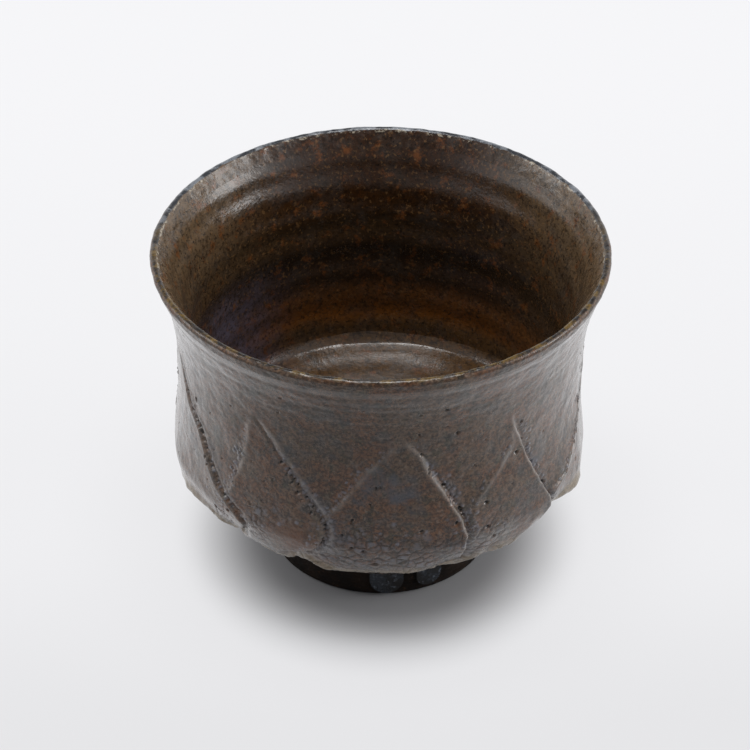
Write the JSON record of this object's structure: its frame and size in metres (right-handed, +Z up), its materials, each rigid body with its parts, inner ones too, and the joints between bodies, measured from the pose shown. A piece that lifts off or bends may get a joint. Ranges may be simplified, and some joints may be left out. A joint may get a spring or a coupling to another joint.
{
  "type": "guinomi sake cup",
  "caption": "Small stoneware sake cup with a flared lip, a turned foot ring and lotus petals carved round its belly under a crawled grey-brown glaze.",
  "frame": {"origin": "centre of the foot ring's resting face, on the surface the cup stands on", "axes": "+Z up along the wheel's axis; -Y is the side that faces the viewer, with the two glaze runs on the foot; +X to the viewer's right"},
  "size_m": [0.072, 0.072, 0.055],
  "materials": {
    "stoneware": "matt, coarse fired stoneware",
    "bare_clay": "matt, dark, turned and worn at the edge",
    "ash_glaze": "semi-gloss grey-brown, crawled into fine cells low on the petals",
    "iron_glaze": "glossy brown with dark specks",
    "lip_glaze": "glossy, dark brown with pale specks where the glaze thins",
    "glassy_glaze": "glossy, thick, bluish grey"
  },
  "bodies": {
    "root": {"clay_body": "stoneware", "foot_ring": "bare_clay", "outer_glaze": "ash_glaze", "inner_glaze": "iron_glaze", "lip_glaze": "lip_glaze", "foot_glaze_runs": "glassy_glaze"}
  },
  "joints": []
}
